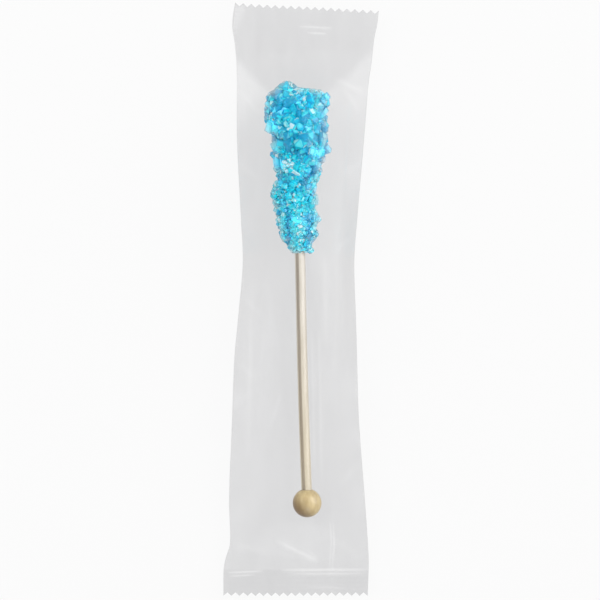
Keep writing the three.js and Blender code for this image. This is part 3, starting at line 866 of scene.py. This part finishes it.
def build_stick(shift):
    """The dowel, and the ball that its end is set in."""
    axis, side, up = stick_frame()
    ball = np.array([BALL["x"], BALL["y"], BALL["radius"] + FILM_UNDER_BALL])
    start = BALL["radius"] - DOWEL["in_ball"]
    length = DOWEL["top_y"] - BALL["y"]

    def place(s, u, v):
        bow = DOWEL_BOW["side"] * math.sin(math.pi * min(max(s / DOWEL_BOW["length"], 0), 1))
        return (ball + axis * s + side * (u + bow) + up * v + shift) * MM

    stick = lathe("stick", dowel_profile(start, length), DOWEL_MESH["around"], place)
    return stick, lathe("ball", ball_profile(start), BALL["around"], place)


# ---- Materials ----


def new_material(name):
    material = bpy.data.materials.new(name)
    material.use_nodes = True
    material.node_tree.nodes.clear()
    return material, material.node_tree


def node(tree, kind, inputs=(), **settings):
    """A new node. Each input takes a value, an output, or a node for its first output."""
    made = tree.nodes.new("ShaderNode" + kind)
    for name, value in settings.items():
        setattr(made, name, value)
    for name, value in dict(inputs).items():
        if isinstance(value, bpy.types.Node):
            value = value.outputs[0]
        if isinstance(value, bpy.types.NodeSocket):
            tree.links.new(value, made.inputs[name])
        else:
            made.inputs[name].default_value = value
    return made


def noise_node(tree, place, look, stretch=None):
    """Noise over the mesh, drawn out along an axis that stretch makes smaller."""
    if stretch:
        place = node(tree, "Mapping", {"Vector": place, "Scale": stretch})
    inputs = {"Vector": place, "Scale": look["scale"]}
    if "detail" in look:
        inputs["Detail"] = look["detail"]
    return node(tree, "TexNoise", inputs)


def range_node(tree, value, low, high, to_low=0, to_high=1, **settings):
    """A value mapped from low and high to the other two, and held there past them."""
    inputs = {"Value": value, "From Min": low, "From Max": high, "To Min": to_low, "To Max": to_high}
    return node(tree, "MapRange", inputs, **settings)


def colour_mix(tree, share, first, second, how="MIX"):
    """The second colour mixed into the first."""
    inputs = {"Factor": share, "A": first, "B": (*second, 1)}
    return node(tree, "Mix", inputs, data_type="RGBA", blend_type=how).outputs["Result"]


def ramp_node(tree, value, stops):
    """Colours at these values, and what lies between them."""
    made = node(tree, "ValToRGB", {0: value})
    elements = made.color_ramp.elements
    while len(elements) < len(stops):
        elements.new(0.5)
    for element, (position, colour) in zip(elements, stops):
        element.position = position
        element.color = (*colour, 1)
    return made


def bump_node(tree, height, look):
    return node(tree, "Bump", {"Height": height, "Strength": look["strength"], "Distance": look["depth"]})


def facing_node(tree, normal, side):
    """How squarely a direction points to a side."""
    return node(tree, "VectorMath", {0: normal, 1: side}, operation="DOT_PRODUCT").outputs["Value"]


def film_material():
    """Clear film: a grey tint at each pass, paler with painted sheen and haze, a weak sheen with fine
    crinkles, and a darker sealed end.
    """
    material, tree = new_material("film_clear")
    place = node(tree, "TexCoord").outputs["Object"]
    y = node(tree, "SeparateXYZ", {0: place}).outputs["Y"]
    sealed = range_node(tree, y, CRIMP_Y["ball"] * MM, (CRIMP_Y["ball"] - SEAL_BLEND) * MM)
    tint = colour_mix(tree, sealed, (*FILM_TINT, 1), SEAL_TINT)
    haze = noise_node(tree, place, HAZE, HAZE["stretch"])
    haze = range_node(tree, haze, HAZE["from"], HAZE["to"], 0, HAZE["share"])
    # painted sheen kept on the mesh
    pale = node(tree, "Attribute", attribute_name="pale").outputs["Fac"]
    paler = node(tree, "Math", {0: pale, 1: haze})
    clear = node(tree, "BsdfTransparent", {"Color": colour_mix(tree, paler, tint, (1, 1, 1))})

    crinkle = noise_node(tree, place, CRINKLE, CRINKLE["stretch"])
    bump = bump_node(tree, crinkle, CRINKLE)
    gloss = node(tree, "BsdfGlossy", {"Normal": bump, "Roughness": FILM_ROUGHNESS, "Color": (1, 1, 1, 1)})
    fresnel = node(tree, "Fresnel", {"IOR": FILM_IOR})
    share = node(tree, "Math", {0: fresnel, 1: FILM_GLOSS_MOST}, operation="MINIMUM")
    film = node(tree, "MixShader", {0: share, 1: clear, 2: gloss})
    node(tree, "OutputMaterial", {"Surface": film})
    return material


def candy_material(name):
    """Blue sugar. Facets take the mesh's tone, which holds painted shade and glints, mixed with painted
    backlight, and a little unevenness in them.
    """
    transmission, roughness, grit = CANDY_LOOKS[name]
    material, tree = new_material(name)
    noise = noise_node(tree, node(tree, "TexCoord").outputs["Object"], UNEVEN)
    uneven = range_node(tree, noise, UNEVEN["from"], UNEVEN["to"], -grit, grit)
    tone = node(tree, "Attribute", attribute_name="tone").outputs["Fac"]
    blue = ramp_node(tree, node(tree, "Math", {0: tone, 1: uneven}), CANDY_TONES)
    # painted backlight: the colour is mixed towards pale where the mesh keeps it
    clear = node(tree, "Attribute", attribute_name="clear").outputs["Fac"]
    shader = node(tree, "BsdfPrincipled", {
        "Base Color": colour_mix(tree, clear, blue, PAINTED_BACKLIGHT["colour"]),
        "Roughness": roughness, "Transmission Weight": transmission, "IOR": SUGAR["ior"],
        "Subsurface Weight": SUGAR["scatter"], "Subsurface Radius": (1, 1, 1),
        "Subsurface Scale": SUGAR["scatter_depth"],
    })
    node(tree, "OutputMaterial", {"Surface": shader})
    return material


def wood_material(name, look):
    """Waxed wood: fine grain, yellower towards the ball, with painted shade.

    The dowel's painted shade is a dark line just inside its left edge. The ball's darkens its left side, away
    from the candy.
    """
    material, tree = new_material(name)
    place = node(tree, "TexCoord").outputs["Object"]
    grain = noise_node(tree, place, GRAIN, look["stretch"])
    bare = ramp_node(tree, grain, ((GRAIN["from"], look["dark"]), (GRAIN["to"], look["light"])))
    y = node(tree, "SeparateXYZ", {0: place}).outputs["Y"]
    warmer = range_node(tree, y, WOOD_WARM["from_y"] * MM, WOOD_WARM["to_y"] * MM)
    warm = colour_mix(tree, warmer, bare, WOOD_WARM["colour"], "MULTIPLY")
    # painted shade: the wood is darker where it faces away from the key lamp
    facing = facing_node(tree, node(tree, "NewGeometry").outputs["Normal"], look["shade_side"])
    ends = look["shade_from"], look["shade_to"]
    painted_shade_share = range_node(tree, facing, *ends, interpolation_type="SMOOTHSTEP")
    shader = node(tree, "BsdfPrincipled", {
        "Base Color": colour_mix(tree, painted_shade_share, warm, look["painted_shade_colour"], "MULTIPLY"),
        "Normal": bump_node(tree, grain, GRAIN),
        "Roughness": WOOD["roughness"], "Coat Weight": WOOD["wax"], "Coat Roughness": WOOD["wax_roughness"],
    })
    node(tree, "OutputMaterial", {"Surface": shader})
    return material


def floor_material():
    """A pale floor that glows a little, so that it stays even and keeps soft shadows."""
    material, tree = new_material("floor_white")
    shader = node(tree, "BsdfPrincipled", {
        "Base Color": (*FLOOR["colour"], 1), "Roughness": FLOOR["roughness"], "Specular IOR Level": 0,
        "Emission Color": (1, 1, 1, 1), "Emission Strength": FLOOR["glow"],
    })
    node(tree, "OutputMaterial", {"Surface": shader})
    return material


# ---- Studio ----


def build_floor():
    mesh = bpy.data.meshes.new("floor")
    half = FLOOR["half"]
    corners = [(-half, -half, 0), (half, -half, 0), (half, half, 0), (-half, half, 0)]
    mesh.from_pydata(corners, [], [(0, 1, 2, 3)])
    floor = add_object("floor", mesh)
    floor.location.z = FLOOR["z"]
    mesh.materials.append(floor_material())


def build_world():
    """Soft light all round, brighter from one side and dimmer straight above."""
    world = bpy.data.worlds.new("studio")
    bpy.context.scene.world = world
    world.use_nodes = True
    tree = world.node_tree
    toward = node(tree, "TexCoord").outputs["Generated"]
    side = facing_node(tree, toward, WORLD_SIDE["towards"])
    brighter = range_node(tree, side, -1, 1, WORLD_SIDE["dark"], WORLD_SIDE["bright"])
    up = node(tree, "SeparateXYZ", {0: toward}).outputs["Z"]
    dimmer = range_node(tree, up, WORLD_TOP["from"], WORLD_TOP["to"], 1, WORLD_TOP["share"])
    both = node(tree, "Math", {0: brighter, 1: dimmer}, operation="MULTIPLY")
    background = tree.nodes["Background"]
    background.inputs["Color"].default_value = (1, 1, 1, 1)
    tree.links.new(both.outputs[0], background.inputs["Strength"])


def build_lamps():
    """Square lamps, all aimed at the origin."""
    for name, place, size, power, mirrored in LAMPS:
        lamp = bpy.data.lights.new(name, "AREA")
        lamp.size = size
        lamp.energy = power
        obj = add_object(name, lamp)
        obj.location = place
        obj.visible_glossy = mirrored
        aim = -obj.location
        obj.rotation_euler = aim.to_track_quat("-Z", "Y").to_euler()


def build_camera(shift):
    """A long lens straight above the wrap's own origin. Its view is as wide as the photo."""
    camera = bpy.data.cameras.new("camera")
    camera.lens = CAMERA["lens"]
    camera.sensor_width = CAMERA["sensor"]
    camera.clip_end = CAMERA["clip_end"]
    height = CAMERA["view_z"] + CAMERA["view_width"] * camera.lens / camera.sensor_width
    obj = add_object("camera", camera)
    obj.location = (shift[0] * MM, shift[1] * MM, height)
    bpy.context.scene.camera = obj
    bpy.context.scene.view_settings.view_transform = "Standard"


def main():
    # pale is the film's painted sheen
    rings, pale = np.split(np.array([film_ring(y) for y in row_places()]), [3], axis=2)
    low, high = rings.reshape(-1, 3).min(axis=0), rings.reshape(-1, 3).max(axis=0)
    shift = np.array([-(low[0] + high[0]) / 2, -(low[1] + high[1]) / 2, -low[2]])
    film = build_film(rings, pale, shift)

    tube = Tube()
    rng = np.random.default_rng(CANDY_SEED)
    core = build_core(tube, shift)
    crystal, grain = rimmed(crystal_form(CRYSTAL_FACES)), plain(crystal_form(GRAIN_FACES))
    leads = grow("lead_crystals", rng, crystal, lead_seeds(tube), tube, shift)
    crystals = grow("crystals", rng, crystal, seeds(rng, CRYSTALS, tube), tube, shift)
    grains = grow("grains", rng, grain, seeds(rng, GRAINS, tube), tube, shift)
    stick, ball = build_stick(shift)

    film.data.materials.append(film_material())
    core.data.materials.append(candy_material("candy_core"))
    blue = candy_material("candy_crystals")
    leads.data.materials.append(blue)
    crystals.data.materials.append(blue)
    grains.data.materials.append(candy_material("candy_grains"))
    stick.data.materials.append(wood_material("wood_dowel", DOWEL_WOOD))
    ball.data.materials.append(wood_material("wood_ball", BALL_WOOD))

    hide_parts("wrapper")
    candy = {piece: "candy" for piece in (core, leads, crystals, grains)}
    for piece, slot in {film: "film", **candy, stick: "wood", ball: "wood"}.items():
        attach(piece, "root")

    build_floor()
    build_world()
    build_lamps()
    build_camera(shift)


main()
